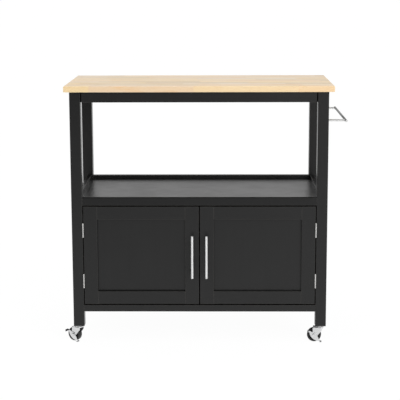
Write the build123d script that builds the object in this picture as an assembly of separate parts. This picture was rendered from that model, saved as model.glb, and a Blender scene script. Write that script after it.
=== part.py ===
from build123d import *
import math
import os

# Kitchen island cart on casters, in millimetres.
# X runs to the right, Y to the back and Z up. The doors face -Y.
# The cart is drawn about the centre of its frame with the floor at zero,
# and is moved at the end so that the origin is under the middle of its box.

# Whole cart
overall_height = 914.0
cut_overrun = 1.0
worktop_width = 932.0
worktop_depth = 470.0
worktop_thickness = 20.0
worktop_overhang = 18.0
worktop_edge_radius = 2.5
worktop_rim_radius = 2.0

# Frame
post_size = 38.0
post_edge_radius = 1.5
rail_thickness = 18.0
rail_edge_radius = 1.0
inner_setback = 5.0
top_rail_height = 36.5
top_rail_groove_width = 4.0
top_rail_groove_depth = 12.0
top_rail_tenon_length = 10.0
top_rail_tenon_shoulder = 3.0
bottom_rail_base = 113.5
bottom_rail_height = 24.0

# Mid shelf and its lips
shelf_top = 526.0
shelf_thickness = 15.0
shelf_lip_height = 14.0
shelf_rail_height = 30.0
shelf_nose_radius = 4.0

# Cabinet
side_panel_thickness = 15.0
back_panel_thickness = 5.0
back_panel_tongue = 6.0
tongue_end_gap = 0.5
floor_thickness = 15.0
inner_shelf_thickness = 15.0
inner_shelf_height = 300.0
inner_shelf_front_gap = 40.0
inner_shelf_side_gap = 1.0
shelf_pin_diameter = 5.0
shelf_pin_depth = 10.0
shelf_pin_reach = 9.0
shelf_pin_inset = 45.0
shelf_pin_pitch = 32.0
shelf_pin_rows = 3

# Doors
door_thickness = 18.0
door_side_gap = 3.0
door_end_gap = 4.0
door_middle_gap = 4.0
stile_width = 48.0
door_rail_height = 46.0
door_edge_radius = 1.0
door_panel_thickness = 5.0
door_panel_setback = 11.0
door_panel_tongue = 8.0

# Butt hinges
hinge_length = 50.8
hinge_end_distance = 84.0
hinge_pin_proud = 2.5
hinge_leaf_thickness = 1.2
hinge_leaf_width = 15.0
hinge_barrel_diameter = 5.0
hinge_pin_diameter = 2.6
hinge_pin_clearance = 0.05
hinge_knuckles = 5
hinge_knuckle_gap = 0.3
hinge_tab_clearance = 0.4

# Door pulls
pull_diameter = 9.0
pull_length = 152.0
pull_post_diameter = 8.0
pull_post_spacing = 96.0
pull_reach = 30.0
pull_edge_distance = 23.0
pull_end_bevel = 0.8

# Magnetic catches and strike plates
catch_width = 40.0
catch_height = 34.0
catch_depth = 13.0
catch_centre_distance = 38.0
catch_top_gap = 3.0
strike_width = 36.0
strike_height = 12.0
strike_thickness = 1.2
strike_drop = 4.0
strike_air = 0.4

# Towel bar on the right side
towel_bar_diameter = 8.0
towel_post_diameter = 8.0
towel_bar_reach = 60.0
towel_bar_drop = 101.0
towel_bar_end = 25.0
towel_end_bevel = 0.8

# Joint hardware
bolt_diameter = 6.0
bolt_head_diameter = 11.0
bolt_head_height = 5.0
bolt_head_air = 0.3
bolt_reach = 24.0
dowel_nut_diameter = 10.0
dowel_nut_length = 14.0
dowel_nut_air = 2.0
bolt_socket_width = 4.0
bolt_socket_depth = 2.5
bracket_leg = 24.0
bracket_width = 20.0
bracket_thickness = 2.0

# Casters
caster_height = 60.0
wheel_diameter = 50.0
wheel_width = 20.0
wheel_shoulder_radius = 5.0
wheel_recess_depth = 4.0
wheel_recess_inner = 9.0
wheel_recess_outer = 17.0
wheel_recess_draft = 1.0
wheel_hub_length = 22.0
caster_trail = 21.0
axle_diameter = 6.0
axle_clearance = 0.08
axle_head_diameter = 11.0
axle_head_height = 3.0
axle_head_round = 1.0
fork_thickness = 2.0
fork_inner_width = 23.0
fork_top_air = 2.0
fork_front_reach = 13.0
fork_front_lip = 4.0
fork_tail_reach = 4.0
fork_crown_air = 0.6
fork_boss_radius = 11.0
fork_bend_radius = 2.4
race_radius = 13.0
race_height = 1.5
race_gap = 0.3
cup_radius = 17.0
cup_edge_height = 1.5
stem_diameter = 10.0
stem_length = 38.0
kingpin_diameter = 8.0
kingpin_clearance = 0.08
kingpin_head_diameter = 13.0
kingpin_head_height = 1.6
kingpin_head_bevel = 1.0
rocker_thickness = 1.6
rocker_gap = 0.35
rocker_hub_radius = 9.0
rocker_heel = (-22.0, 14.5)
rocker_heel_root = (-15.5, 13.0)
rocker_heel_width = 7.0
rocker_heel_tab = 13.0
rocker_waist = (14.0, -4.0)
rocker_belly = (-4.0, -12.0)
rocker_toe_root = (19.0, -18.0)
rocker_toe = (28.0, -20.7)
rocker_toe_width = 4.0
rocker_toe_tab = 9.0
rocker_toe_tab_width = 7.0
rocker_travel = 15.0

# Where each caster has swivelled to, in degrees, and whether it has a brake
casters = {
    "front_left": (-1, -1, -30.0, True),
    "front_right": (1, -1, -8.0, True),
    "rear_left": (-1, 1, -82.0, False),
    "rear_right": (1, 1, -97.0, False),
}

# Places worked out from the sizes
half_width = worktop_width / 2 - worktop_overhang
half_depth = worktop_depth / 2 - worktop_overhang
inner_x = half_width - post_size
inner_y = half_depth - post_size
board_x = inner_x + inner_setback
board_y = inner_y + inner_setback
post_x = half_width - post_size / 2
post_y = half_depth - post_size / 2
front_back_y = -half_depth + rail_thickness
worktop_base = overall_height - worktop_thickness
top_rail_base = worktop_base - top_rail_height
top_rail_mid = (top_rail_base + worktop_base) / 2
lip_top = shelf_top + shelf_lip_height
shelf_rail_base = shelf_top - shelf_rail_height
floor_top = bottom_rail_base + bottom_rail_height
door_base = floor_top + door_end_gap
door_top = shelf_rail_base - door_end_gap
door_mid = (door_base + door_top) / 2
hinge_edge_x = -inner_x + door_side_gap
hinge_axis_x = -inner_x + door_side_gap / 2
hinge_axis_y = -half_depth - hinge_pin_proud
door_back_y = -half_depth + door_thickness
axle_height = wheel_diameter / 2
fork_top = wheel_diameter + fork_top_air + fork_thickness
cup_base = fork_top + race_height + race_gap
fork_half = fork_inner_width / 2 + fork_thickness
rocker_inner = fork_half + rocker_gap
rocker_outer = rocker_inner + rocker_thickness
towel_bar_height = worktop_base - towel_bar_drop
towel_bar_x = half_width + towel_bar_reach
pull_y = -half_depth - pull_reach


def board(x0, x1, y0, y1, z0, z1):
    """A plain rectangular board between two corners."""
    size = Box(x1 - x0, y1 - y0, z1 - z0)
    return Pos((x0 + x1) / 2, (y0 + y1) / 2, (z0 + z1) / 2) * size


def eased(shape, axis, radius):
    """The shape with all its edges along one axis rounded."""
    return fillet(shape.edges().filter_by(axis), radius)


def rod(start, direction, radius, length):
    """A round rod from a start point along a direction."""
    return Plane(origin=start, z_dir=direction) * extrude(Circle(radius), length)


def group(solids):
    """Separate solids that share one node."""
    return Compound(children=list(solids))


def bolt_places():
    """Where the frame bolts pass: (Y, Z, whether the rail is at the front)."""
    front_y = -half_depth + rail_thickness / 2
    rear_y = board_y + rail_thickness / 2
    bottom_z = bottom_rail_base + bottom_rail_height / 2
    return [
        (front_y, shelf_rail_base + shelf_rail_height / 2, True),
        (front_y, bottom_z, True),
        (rear_y, top_rail_mid, False),
        (rear_y, (shelf_rail_base + lip_top) / 2, False),
        (rear_y, bottom_z, False),
    ]


def bolt(side, y, z):
    """One frame bolt: a flat head let into the post and a shank into the rail."""
    head_x = side * half_width
    shank_x = side * (half_width - bolt_head_height)
    length = half_width - bolt_head_height - inner_x + bolt_reach
    head = rod((head_x, y, z), (-side, 0, 0), bolt_head_diameter / 2, bolt_head_height)
    shank = rod((shank_x, y, z), (-side, 0, 0), bolt_diameter / 2, length)
    return head + shank


def dowel_nut(side, y, z, front):
    """The cross dowel that a frame bolt screws into, flush with the rail's hidden face."""
    x = side * (inner_x - bolt_reach + dowel_nut_diameter / 2 + dowel_nut_air)
    face_y = front_back_y if front else board_y + rail_thickness
    nut = rod((x, face_y, z), (0, -1, 0), dowel_nut_diameter / 2, dowel_nut_length)
    return nut


def hex_socket(side, y, z):
    """The hexagonal recess in a bolt's head."""
    face = Plane(origin=(side * half_width, y, z), z_dir=(-side, 0, 0))
    return face * extrude(RegularPolygon(bolt_socket_width / 2, 6, major_radius=False), bolt_socket_depth)


def bolt_bores():
    """Everything the frame bolts and dowel nuts take out of the posts and rails."""
    cuts = []
    for side in (-1, 1):
        for y, z, front in bolt_places():
            cuts.append(bolt(side, y, z))
            cuts.append(dowel_nut(side, y, z, front))
            start = (side * half_width, y, z)
            radius = bolt_head_diameter / 2 + bolt_head_air
            cuts.append(rod(start, (-side, 0, 0), radius, bolt_head_height))
    return cuts


def frame_bolts():
    """All frame bolts and their dowel nuts."""
    solids = []
    for side in (-1, 1):
        for y, z, front in bolt_places():
            one_bolt = bolt(side, y, z)
            solids.append(one_bolt - hex_socket(side, y, z))
            solids.append(dowel_nut(side, y, z, front) - one_bolt)
    return group(solids)


def near(shape, cuts):
    """The shape less those cuts whose boxes reach it."""
    box = shape.bounding_box()
    for cut in cuts:
        other = cut.bounding_box()
        apart = (
            other.max.X < box.min.X or other.min.X > box.max.X
            or other.max.Y < box.min.Y or other.min.Y > box.max.Y
            or other.max.Z < box.min.Z or other.min.Z > box.max.Z
        )
        if not apart:
            shape = shape - cut
    return shape


def worktop():
    """The solid wood top with its edges and corners rounded."""
    x = worktop_width / 2
    y = worktop_depth / 2
    slab = board(-x, x, -y, y, worktop_base, overall_height)
    slab = eased(slab, Axis.Z, worktop_edge_radius)
    rims = slab.faces().sort_by(Axis.Z)
    return fillet(rims[-1].edges() + rims[0].edges(), worktop_rim_radius)


def back_groove():
    """The groove round the back panel, cut in the posts and rails."""
    reach = back_panel_tongue + tongue_end_gap
    y0 = board_y + (rail_thickness - back_panel_thickness) / 2
    return board(
        -inner_x - reach, inner_x + reach,
        y0, y0 + back_panel_thickness,
        floor_top - reach, shelf_rail_base + reach,
    )


def back_panel():
    """The thin back of the cabinet, held by its tongue all round."""
    reach = back_panel_tongue
    y0 = board_y + (rail_thickness - back_panel_thickness) / 2
    return board(
        -inner_x - reach, inner_x + reach,
        y0, y0 + back_panel_thickness,
        floor_top - reach, shelf_rail_base + reach,
    )


def top_rail_tenons():
    """The stub tenons at the ends of the front top rail, which fill mortises in the posts."""
    tenons = []
    y0 = -half_depth + top_rail_groove_depth
    z0 = top_rail_base + top_rail_tenon_shoulder
    z1 = worktop_base - top_rail_tenon_shoulder
    for side in (-1, 1):
        x0 = side * inner_x
        x1 = side * (inner_x + top_rail_tenon_length)
        tenons.append(board(min(x0, x1), max(x0, x1), y0, front_back_y, z0, z1))
    return tenons


def post(side, end, cuts):
    """One square leg, bored for its caster stem and bolts, grooved or mortised for what it holds."""
    x0 = side * half_width
    y0 = end * half_depth
    x1 = side * inner_x
    y1 = end * inner_y
    leg = board(min(x0, x1), max(x0, x1), min(y0, y1), max(y0, y1), caster_height, worktop_base)
    leg = eased(leg, Axis.Z, post_edge_radius)
    bore = rod((side * post_x, end * post_y, caster_height), (0, 0, 1), stem_diameter / 2, stem_length)
    leg = leg - bore
    if end > 0:
        leg = leg - back_groove()
    else:
        leg = near(leg, top_rail_tenons())
    return near(leg, cuts)


def top_rail_front():
    """The rail under the front of the worktop, with a shadow groove and a tenon at each post."""
    rail = board(-inner_x, inner_x, -half_depth, front_back_y, top_rail_base, worktop_base)
    rail = eased(rail, Axis.X, rail_edge_radius)
    for side in (-1, 1):
        x0 = side * (inner_x - top_rail_groove_width)
        x1 = side * inner_x
        y1 = -half_depth + top_rail_groove_depth
        rail = rail - board(min(x0, x1), max(x0, x1), -half_depth, y1, top_rail_base, worktop_base)
    for tenon in top_rail_tenons():
        rail = rail + tenon
    return rail


def top_rail_rear(cuts):
    """The rail under the back of the worktop."""
    rail = board(-inner_x, inner_x, board_y, board_y + rail_thickness, top_rail_base, worktop_base)
    return near(eased(rail, Axis.X, rail_edge_radius), cuts)


def top_rail_side(side):
    """The rail under one side of the worktop."""
    x0 = side * board_x
    x1 = side * (board_x + rail_thickness)
    rail = board(min(x0, x1), max(x0, x1), -inner_y, inner_y, top_rail_base, worktop_base)
    return eased(rail, Axis.Y, rail_edge_radius)


def corner_notches(z0, z1):
    """The four squares that the posts take out of a board between them."""
    notches = []
    for side in (-1, 1):
        for end in (-1, 1):
            x0 = side * inner_x
            x1 = side * half_width
            y0 = end * inner_y
            y1 = end * half_depth
            notches.append(board(min(x0, x1), max(x0, x1), min(y0, y1), max(y0, y1), z0, z1))
    return notches


def level_board(z0, z1):
    """A board that fills the frame between the side panels, notched round the posts."""
    sheet = board(-board_x, board_x, front_back_y, board_y, z0, z1)
    for notch in corner_notches(z0, z1):
        sheet = sheet - notch
    return sheet


def shelf_rail_front(cuts):
    """The front edge of the mid shelf, with its rounded nose."""
    rail = board(-inner_x, inner_x, -half_depth, front_back_y, shelf_rail_base, shelf_top)
    front_edges = rail.edges().filter_by(Axis.X).group_by(Axis.Y)[0].sort_by(Axis.Z)
    rail = fillet(front_edges[-1:], shelf_nose_radius)
    lower = rail.edges().filter_by(Axis.X).group_by(Axis.Z)[0].sort_by(Axis.Y)
    return near(fillet(lower[:1], rail_edge_radius), cuts)


def shelf_rail_rear(cuts):
    """The back rail of the cabinet, which stands up as a lip behind the shelf."""
    rail = board(-inner_x, inner_x, board_y, board_y + rail_thickness, shelf_rail_base, lip_top)
    rail = fillet(rail.edges().filter_by(Axis.X).group_by(Axis.Z)[-1], rail_edge_radius)
    return near(rail - back_groove(), cuts)


def bottom_rail_front(cuts):
    """The rail below the doors."""
    rail = board(-inner_x, inner_x, -half_depth, front_back_y, bottom_rail_base, floor_top)
    front_edges = rail.edges().filter_by(Axis.X).group_by(Axis.Y)[0]
    return near(fillet(front_edges, rail_edge_radius), cuts)


def bottom_rail_rear(cuts):
    """The rail below the back panel."""
    rail = board(-inner_x, inner_x, board_y, board_y + rail_thickness, bottom_rail_base, floor_top)
    return near(rail - back_groove(), cuts)


def pin_rows():
    """The heights of the shelf pin holes."""
    middle = inner_shelf_height - shelf_pin_diameter / 2
    rows = range(shelf_pin_rows)
    return [middle + (row - (shelf_pin_rows - 1) / 2) * shelf_pin_pitch for row in rows]


def inner_shelf_span():
    """Where the loose shelf starts and ends from front to back."""
    return door_back_y + inner_shelf_front_gap, inner_y - inner_shelf_side_gap


def pin_stations():
    """How far back the shelf pins stand."""
    front, rear = inner_shelf_span()
    return front + shelf_pin_inset, rear - shelf_pin_inset


def side_panel(side):
    """One side of the cabinet, which stands up as a lip beside the shelf."""
    x0 = side * board_x
    x1 = side * (board_x + side_panel_thickness)
    panel = board(min(x0, x1), max(x0, x1), -inner_y, inner_y, bottom_rail_base, lip_top)
    panel = fillet(panel.edges().filter_by(Axis.Y).group_by(Axis.Z)[-1], rail_edge_radius)
    for y in pin_stations():
        for z in pin_rows():
            panel = panel - rod((x0, y, z), (side, 0, 0), shelf_pin_diameter / 2, shelf_pin_depth)
    return panel


def inner_shelf():
    """The loose shelf that rests on four pins."""
    front, rear = inner_shelf_span()
    x = board_x - inner_shelf_side_gap
    sheet = board(-x, x, front, rear, inner_shelf_height, inner_shelf_height + inner_shelf_thickness)
    return eased(sheet, Axis.X, rail_edge_radius)


def shelf_pins():
    """The four pins under the loose shelf."""
    pins = []
    z = inner_shelf_height - shelf_pin_diameter / 2
    for side in (-1, 1):
        for y in pin_stations():
            start = (side * (board_x + shelf_pin_depth), y, z)
            length = shelf_pin_depth + shelf_pin_reach
            pins.append(rod(start, (-side, 0, 0), shelf_pin_diameter / 2, length))
    return group(pins)


def bracket(along_x, face, inward, middle):
    """One angle bracket in the corner between a top rail's inner face and the worktop."""
    wall = face + inward * bracket_thickness
    far = face + inward * bracket_leg
    half = bracket_width / 2
    corner = []
    for edge, low in ((wall, worktop_base - bracket_leg), (far, worktop_base - bracket_thickness)):
        a0, a1 = min(face, edge), max(face, edge)
        b0, b1 = middle - half, middle + half
        if along_x:
            corner.append(board(b0, b1, a0, a1, low, worktop_base))
        else:
            corner.append(board(a0, a1, b0, b1, low, worktop_base))
    return corner[0] + corner[1]


def worktop_brackets():
    """Small angle brackets that hold the worktop to the top rails."""
    brackets = []
    for side in (-1, 1):
        for y in (-inner_y / 2, inner_y / 2):
            brackets.append(bracket(False, side * board_x, -side, y))
        for face, inward in ((front_back_y, 1), (board_y, -1)):
            brackets.append(bracket(True, face, inward, side * inner_x / 2))
    return group(brackets)


def bar_with_posts(bar, legs):
    """A bar and the legs that carry it, each leg shaped to the round of the bar."""
    return group([bar] + [leg - bar for leg in legs])


def towel_bar():
    """The round bar on two standoffs at the right side."""
    start = (towel_bar_x, -post_y - towel_bar_end, towel_bar_height)
    bar = rod(start, (0, 1, 0), towel_bar_diameter / 2, 2 * (post_y + towel_bar_end))
    bar = chamfer(bar.edges().filter_by(GeomType.CIRCLE), towel_end_bevel)
    legs = []
    for end in (-1, 1):
        foot = (half_width, end * post_y, towel_bar_height)
        legs.append(rod(foot, (1, 0, 0), towel_post_diameter / 2, towel_bar_reach))
    return bar_with_posts(bar, legs)


def magnetic_catches():
    """The stepped catch behind the head of each door, fixed to the shelf rail."""
    catches = []
    face = front_back_y
    step = strike_thickness + strike_air
    top = shelf_top - shelf_thickness - catch_top_gap
    for side in (-1, 1):
        x = side * catch_centre_distance
        half = catch_width / 2
        body = board(x - half, x + half, face, face + catch_depth, top - catch_height, top)
        relief = board(x - half, x + half, face, face + step, top - catch_height, shelf_rail_base)
        catches.append(body - relief)
    return group(catches)


def hinge_centres():
    """The heights of a door's two hinges."""
    return door_base + hinge_end_distance, door_top - hinge_end_distance


def knuckle_spans(own):
    """The height ranges of the knuckles of one leaf, measured from the hinge's foot."""
    pitch = hinge_length / hinge_knuckles
    spans = []
    for index in range(own, hinge_knuckles, 2):
        low = index * pitch + (hinge_knuckle_gap / 2 if index > 0 else 0)
        high = (index + 1) * pitch - (hinge_knuckle_gap / 2 if index < hinge_knuckles - 1 else 0)
        spans.append((low, high))
    return spans


def hinge_leaf(centre, side, own, bore_radius):
    """One leaf of the left door's hinge. side is -1 on the post and 1 on the door."""
    foot = centre - hinge_length / 2
    far = hinge_axis_x + side * door_side_gap / 2
    close = far - side * hinge_leaf_thickness
    x0 = min(far, close)
    x1 = max(far, close)
    plate_start = hinge_axis_y + hinge_barrel_diameter / 2 + hinge_tab_clearance
    plate_end = -half_depth + hinge_leaf_width
    leaf = board(x0, x1, plate_start, plate_end, foot, foot + hinge_length)
    for low, high in knuckle_spans(own):
        leaf += board(x0, x1, hinge_axis_y, plate_start, foot + low, foot + high)
        ring = rod((hinge_axis_x, hinge_axis_y, foot + low), (0, 0, 1), hinge_barrel_diameter / 2, high - low)
        leaf += ring
    bore = rod((hinge_axis_x, hinge_axis_y, foot), (0, 0, 1), bore_radius, hinge_length)
    return leaf - bore


def fixed_hinge_leaves():
    """The leaves on the posts, for both doors."""
    left = [hinge_leaf(z, -1, 0, hinge_pin_diameter / 2) for z in hinge_centres()]
    right = [mirror(leaf, about=Plane.YZ) for leaf in left]
    return group(left + right)


def hinge_pins():
    """The pins of all four hinges."""
    pins = []
    for side in (-1, 1):
        for z in hinge_centres():
            foot = (-side * hinge_axis_x, hinge_axis_y, z - hinge_length / 2)
            pins.append(rod(foot, (0, 0, 1), hinge_pin_diameter / 2, hinge_length))
    return group(pins)


def door_pull(x):
    """One bar pull, upright on the door's stile."""
    start = (x, pull_y, door_mid - pull_length / 2)
    bar = rod(start, (0, 0, 1), pull_diameter / 2, pull_length)
    bar = chamfer(bar.edges().filter_by(GeomType.CIRCLE), pull_end_bevel)
    legs = []
    for end in (-1, 1):
        foot = (x, -half_depth, door_mid + end * pull_post_spacing / 2)
        legs.append(rod(foot, (0, -1, 0), pull_post_diameter / 2, pull_reach))
    return bar_with_posts(bar, legs)


def left_door():
    """The pieces of the left door, by name."""
    x0 = hinge_edge_x
    x1 = -door_middle_gap / 2
    y0 = -half_depth
    y1 = door_back_y
    reach = door_panel_tongue + tongue_end_gap
    panel_y0 = y0 + door_panel_setback
    panel_y1 = panel_y0 + door_panel_thickness
    groove = board(
        x0 + stile_width - reach, x1 - stile_width + reach,
        panel_y0, panel_y1,
        door_base + door_rail_height - reach, door_top - door_rail_height + reach,
    )
    panel = board(
        x0 + stile_width - door_panel_tongue, x1 - stile_width + door_panel_tongue,
        panel_y0, panel_y1,
        door_base + door_rail_height - door_panel_tongue,
        door_top - door_rail_height + door_panel_tongue,
    )
    stile_hinge = eased(board(x0, x0 + stile_width, y0, y1, door_base, door_top), Axis.Z, door_edge_radius)
    stile_pull = eased(board(x1 - stile_width, x1, y0, y1, door_base, door_top), Axis.Z, door_edge_radius)
    rails = []
    for z0 in (door_base, door_top - door_rail_height):
        rail = board(x0 + stile_width, x1 - stile_width, y0, y1, z0, z0 + door_rail_height)
        rails.append(eased(rail, Axis.X, door_edge_radius) - groove)
    strike_z = shelf_rail_base - door_end_gap - strike_drop
    strike_x = -catch_centre_distance
    strike = board(
        strike_x - strike_width / 2, strike_x + strike_width / 2,
        y1, y1 + strike_thickness,
        strike_z - strike_height, strike_z,
    )
    leaves = [
        hinge_leaf(z, 1, 1, hinge_pin_diameter / 2 + hinge_pin_clearance) for z in hinge_centres()
    ]
    return {
        "stile_hinge": stile_hinge - groove,
        "stile_pull": stile_pull - groove,
        "rail_bottom": rails[0],
        "rail_top": rails[1],
        "panel": panel,
        "pull": door_pull(x1 - pull_edge_distance),
        "strike": strike,
        "hinge_leaves": group(leaves),
    }


def caster_place(key):
    """The swivel axis and turn of one caster as a location."""
    side, end, turn, _ = casters[key]
    return Pos(side * post_x, end * post_y, 0) * Rot(0, 0, turn)


def caster_stem():
    """The fixed top of a caster: stem in the post, bearing cup and kingpin with its rivet head."""
    head_top = fork_top - fork_thickness - race_gap
    head_base = head_top - kingpin_head_height
    cup_slope = cup_radius - race_radius / 2
    outline = Polyline(
        (0, head_base),
        (kingpin_head_diameter / 2 - kingpin_head_bevel, head_base),
        (kingpin_head_diameter / 2, head_top),
        (kingpin_diameter / 2, head_top),
        (kingpin_diameter / 2, cup_base),
        (cup_slope, cup_base),
        (cup_radius, caster_height - cup_edge_height),
        (cup_radius, caster_height),
        (stem_diameter / 2, caster_height),
        (stem_diameter / 2, caster_height + stem_length),
        (0, caster_height + stem_length),
        close=True,
    )
    return revolve(make_face(Plane.XZ * outline), Axis.Z)


def touching_point(centre, radius, point):
    """Where a line drawn from a point touches the right-hand side of a circle."""
    across = point[0] - centre[0]
    up = point[1] - centre[1]
    angle = math.atan2(up, across) - math.acos(radius / math.hypot(across, up))
    return centre[0] + radius * math.cos(angle), centre[1] + radius * math.sin(angle)


def caster_fork():
    """The pressed fork: a bent channel with tapering legs, a raised race and the axle bore."""
    tail = -caster_trail - fork_tail_reach
    boss = (-caster_trail, axle_height)
    lip = (fork_front_reach, fork_top - fork_front_lip)
    tangent = touching_point(boss, fork_boss_radius, lip)
    side_view = Polyline(
        (tail, fork_top),
        (tail, axle_height),
        boss,
        tangent,
        lip,
        (fork_front_reach, fork_top),
        close=True,
    )
    profile = make_face(side_view) + Pos(*boss) * Circle(fork_boss_radius)
    body = Plane.XZ * extrude(profile, fork_half, both=True)
    plan = Pos(tail / 2, 0, 0) * Rectangle(-tail, 2 * fork_half) + Circle(fork_half + fork_crown_air)
    body = body & extrude(plan, fork_top)
    top_edges = body.edges().filter_by(Axis.X).group_by(Axis.Z)[-1]
    body = fillet(top_edges, fork_bend_radius)
    inside = board(
        tail - cut_overrun, fork_front_reach + cut_overrun,
        -fork_inner_width / 2, fork_inner_width / 2,
        0, fork_top - fork_thickness,
    )
    body = body - inside
    body += Pos(0, 0, fork_top) * extrude(Circle(race_radius), race_height)
    pin_hole = rod((0, 0, 0), (0, 0, 1), kingpin_diameter / 2 + kingpin_clearance, caster_height)
    start = (boss[0], -fork_half - cut_overrun, boss[1])
    axle_hole = rod(start, (0, 1, 0), axle_diameter / 2, 2 * (fork_half + cut_overrun))
    return body - pin_hole - axle_hole


def caster_axle(braked):
    """The axle bolt with its head at the near side and its nut at the far side."""
    near_face = rocker_outer + rocker_gap if braked else fork_half
    start = (-caster_trail, -near_face, axle_height)
    shank = rod(start, (0, 1, 0), axle_diameter / 2, near_face + fork_half)
    head = rod(start, (0, -1, 0), axle_head_diameter / 2, axle_head_height)
    head = fillet(head.faces().sort_by(Axis.Y)[0].edges(), axle_head_round)
    nut_face = Plane(origin=(-caster_trail, fork_half, axle_height), z_dir=(0, 1, 0))
    nut = nut_face * extrude(RegularPolygon(axle_head_diameter / 2, 6), axle_head_height)
    return shank + head + nut


def caster_wheel():
    """The one-piece wheel: tread with rounded shoulders, web recess and hub."""
    r = wheel_diameter / 2
    half = wheel_width / 2
    bore = axle_diameter / 2 + axle_clearance
    floor = half - wheel_recess_depth
    hub = wheel_hub_length / 2
    quarter = [
        (bore, 0),
        (bore, hub),
        (wheel_recess_inner - wheel_recess_draft, hub),
        (wheel_recess_inner, floor),
        (wheel_recess_outer, floor),
        (wheel_recess_outer + wheel_recess_draft, half),
        (r, half),
        (r, 0),
    ]
    face = make_face(Plane.YX * Polyline(*quarter, close=True))
    ring = revolve(face, Axis.X)
    shoulder = ring.edges().sort_by(lambda edge: (edge.length, edge.center().X))[-1:]
    ring = fillet(shoulder, wheel_shoulder_radius)
    wheel = ring + mirror(ring, about=Plane.YZ)
    return Pos(-caster_trail, 0, axle_height) * Rot(0, 0, 90) * wheel


def brake_rocker():
    """The pressed rocker beside the wheel: hub and belly, heel and toe arms, and a foot tab on each."""
    heel_x, heel_z = rocker_heel
    heel_half = rocker_heel_width / 2
    toe_x, toe_z = rocker_toe
    toe_half = rocker_toe_width / 2
    hub_top = (0, rocker_hub_radius)
    hub_side = (rocker_hub_radius, 0)
    hub_corner = (rocker_hub_radius * math.sqrt(0.5), rocker_hub_radius * math.sqrt(0.5))
    belly_toe = (rocker_toe_root[0], rocker_toe_root[1] - toe_half)
    belly_heel = (rocker_heel_root[0], rocker_heel_root[1] - heel_half)
    outline = (
        Polyline(belly_heel, (heel_x, heel_z - heel_half), (heel_x, heel_z + heel_half), hub_top)
        + ThreePointArc(hub_top, hub_corner, hub_side)
        + Polyline(
            hub_side,
            rocker_waist,
            (rocker_toe_root[0], rocker_toe_root[1] + toe_half),
            (toe_x, toe_z + toe_half),
            (toe_x, toe_z - toe_half),
            belly_toe,
        )
        + ThreePointArc(belly_toe, rocker_belly, belly_heel)
    )
    plate = Plane(origin=(-caster_trail, -rocker_inner, axle_height), z_dir=(0, -1, 0), x_dir=(1, 0, 0))
    body = plate * extrude(make_face(outline), rocker_thickness)
    x = -caster_trail + heel_x
    z = axle_height + heel_z
    body += board(
        x, x + rocker_thickness,
        -rocker_outer - rocker_heel_tab, -rocker_inner,
        z - heel_half, z + heel_half,
    )
    x = -caster_trail + toe_x
    z = axle_height + toe_z - toe_half
    body += board(
        x - rocker_toe_tab_width, x,
        -rocker_outer - rocker_toe_tab, -rocker_inner,
        z, z + rocker_thickness,
    )
    start = (-caster_trail, 0, axle_height)
    bore = rod(start, (0, -1, 0), axle_diameter / 2 + axle_clearance, rocker_outer + cut_overrun)
    return body - bore


def build_parts():
    """Every node of the cart, by name, drawn about the centre of the frame."""
    cuts = bolt_bores()
    parts = {
        "worktop": worktop(),
        "post_front_left": post(-1, -1, cuts),
        "post_front_right": post(1, -1, cuts),
        "post_rear_left": post(-1, 1, cuts),
        "post_rear_right": post(1, 1, cuts),
        "top_rail_front": top_rail_front(),
        "top_rail_rear": top_rail_rear(cuts),
        "top_rail_left": top_rail_side(-1),
        "top_rail_right": top_rail_side(1),
        "shelf_panel": level_board(shelf_top - shelf_thickness, shelf_top),
        "shelf_rail_front": shelf_rail_front(cuts),
        "shelf_rail_rear": shelf_rail_rear(cuts),
        "bottom_rail_front": bottom_rail_front(cuts),
        "bottom_rail_rear": bottom_rail_rear(cuts),
        "side_panel_left": side_panel(-1),
        "side_panel_right": side_panel(1),
        "cabinet_floor": level_board(floor_top - floor_thickness, floor_top),
        "back_panel": back_panel(),
        "inner_shelf": inner_shelf(),
        "shelf_pins": shelf_pins(),
        "frame_bolts": frame_bolts(),
        "worktop_brackets": worktop_brackets(),
        "towel_bar": towel_bar(),
        "magnetic_catches": magnetic_catches(),
        "hinge_leaves_fixed": fixed_hinge_leaves(),
        "hinge_pins": hinge_pins(),
    }
    for name, shape in left_door().items():
        parts["door_left_" + name] = shape
        parts["door_right_" + name] = mirror(shape, about=Plane.YZ)
    parts["caster_stems"] = group([caster_place(key) * caster_stem() for key in casters])
    for key, (_, _, _, braked) in casters.items():
        place = caster_place(key)
        parts["caster_fork_" + key] = place * caster_fork()
        parts["caster_axle_" + key] = place * caster_axle(braked)
        parts["caster_wheel_" + key] = place * caster_wheel()
        if braked:
            parts["brake_rocker_" + key] = place * brake_rocker()
    return parts


parts = build_parts()
boxes = [shape.bounding_box() for shape in parts.values()]
middle_x = (min(box.min.X for box in boxes) + max(box.max.X for box in boxes)) / 2
middle_y = (min(box.min.Y for box in boxes) + max(box.max.Y for box in boxes)) / 2
to_origin = Pos(-middle_x, -middle_y, 0)

os.makedirs("parts", exist_ok=True)
for name, shape in parts.items():
    export_step(to_origin * shape, os.path.join("parts", name + ".step"))
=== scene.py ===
import math

import bpy
import numpy as np
from mathutils import Matrix, Vector


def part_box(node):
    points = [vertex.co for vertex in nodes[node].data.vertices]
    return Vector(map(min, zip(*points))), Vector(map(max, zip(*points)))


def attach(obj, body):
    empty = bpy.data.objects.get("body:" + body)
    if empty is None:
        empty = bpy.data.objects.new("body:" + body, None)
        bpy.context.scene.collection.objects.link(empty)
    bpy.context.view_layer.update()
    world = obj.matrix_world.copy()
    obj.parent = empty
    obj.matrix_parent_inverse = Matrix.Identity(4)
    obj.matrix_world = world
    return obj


# Looks of the kitchen cart: light staved worktop, black lacquered frame and doors, brushed bars, zinc casters.
# Metres, +X right, +Y back, +Z up.

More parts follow.
